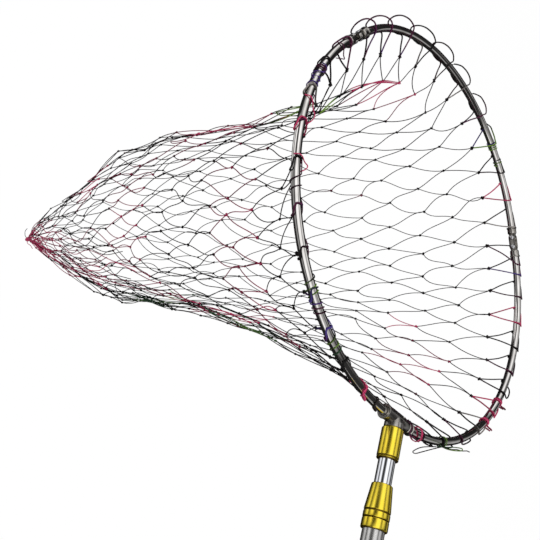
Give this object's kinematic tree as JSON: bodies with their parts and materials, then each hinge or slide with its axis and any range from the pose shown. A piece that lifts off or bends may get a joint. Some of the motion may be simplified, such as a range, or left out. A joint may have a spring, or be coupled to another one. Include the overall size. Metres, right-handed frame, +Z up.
{
  "type": "telescopic landing net",
  "caption": "Landing net with a telescoping twist-lock pole, a folding hoop of hinged arcs and a hanging knotted net bag for lifting fish out of the water.",
  "frame": {"origin": "on the pole's axis at the middle of the grip, where the hand holds it", "axes": "+Y forward along the pole to the hoop, +Z up out of the hoop's mouth, bag hanging towards -Z"},
  "size_m": [0.4322, 1.1628, 0.7029],
  "materials": {
    "hoop_steel": "polished stainless tube",
    "hinge_steel": "polished, darker in the folds",
    "tip_chrome": "mirror",
    "gold_anodised": "polished gold anodising",
    "grey_tube": "satin",
    "nylon": "moulded",
    "grip_foam": "matt foam",
    "cap_rubber": "matt",
    "net_thread": "space-dyed braided thread"
  },
  "bodies": {
    "butt": {"butt_tube": "grey_tube", "grip": "grip_foam", "butt_cap": "cap_rubber", "rear_lock_body": "gold_anodised", "rear_lock_collet": "nylon"},
    "rear_nut": {"rear_lock_nut": "gold_anodised"},
    "mid": {"mid_tube": "grey_tube", "mid_guide_bush": "nylon", "front_lock_body": "gold_anodised", "front_lock_collet": "nylon"},
    "front_nut": {"front_lock_nut": "gold_anodised"},
    "head": {"tip_tube": "tip_chrome", "tip_guide_bush": "nylon", "tip_insert": "hinge_steel", "head_ferrule": "gold_anodised", "head_stud": "hinge_steel", "hoop_socket": "hinge_steel", "detent_plunger": "hinge_steel", "left_arc": "hoop_steel", "top_hinge_sleeve_left": "hinge_steel", "net_bag": "net_thread", "end_knot": "net_thread"},
    "top_link": {"top_hinge_link": "hinge_steel", "top_hinge_rivet_left": "tip_chrome", "top_hinge_rivet_upper": "tip_chrome"},
    "upper_arc": {"upper_arc": "hoop_steel", "top_hinge_sleeve_upper": "hinge_steel", "right_hinge_sleeve_upper": "hinge_steel"},
    "right_link": {"right_hinge_link": "hinge_steel", "right_hinge_rivet_upper": "tip_chrome", "right_hinge_rivet_lower": "tip_chrome"},
    "right_arc": {"right_arc": "hoop_steel", "right_hinge_sleeve_lower": "hinge_steel", "right_arc_end": "hinge_steel"}
  },
  "joints": [
    {"name": "rear_lock_twist", "type": "hinge", "parent": "butt", "child": "rear_nut", "pos_m": [0, 0.478, 0], "axis": [0, 1, 0], "range_deg": [0, 170]},
    {"name": "mid_slide", "type": "slide", "parent": "butt", "child": "mid", "axis": [0, 1, 0], "range_m": [-0.038, 0.42]},
    {"name": "front_lock_twist", "type": "hinge", "parent": "mid", "child": "front_nut", "pos_m": [0, 0.556, 0], "axis": [0, 1, 0], "range_deg": [0, 170]},
    {"name": "tip_slide", "type": "slide", "parent": "mid", "child": "head", "axis": [0, 1, 0], "range_m": [-0.021, 0.44]},
    {"name": "top_fold", "type": "hinge", "parent": "head", "child": "top_link", "pos_m": [-0.18077, 0.93155, 0], "axis": [0.866, -0.5, 0], "range_deg": [0, 86], "deforming": ["net_bag"]},
    {"name": "top_fold_far", "type": "hinge", "parent": "top_link", "child": "upper_arc", "pos_m": [-0.17497, 0.94159, 0], "axis": [0.866, -0.5, 0], "range_deg": [0, 86], "deforming": ["net_bag"]},
    {"name": "right_fold", "type": "hinge", "parent": "upper_arc", "child": "right_link", "pos_m": [0.17497, 0.94159, 0], "axis": [0.866, 0.5, 0], "range_deg": [0, 86], "deforming": ["net_bag"]},
    {"name": "right_fold_far", "type": "hinge", "parent": "right_link", "child": "right_arc", "pos_m": [0.18077, 0.93155, 0], "axis": [0.866, 0.5, 0], "range_deg": [0, 86], "deforming": ["net_bag"]}
  ],
  "couplings": [
    {"joint": "top_fold_far", "follows": "top_fold", "ratio": 1},
    {"joint": "right_fold_far", "follows": "right_fold", "ratio": 1}
  ]
}
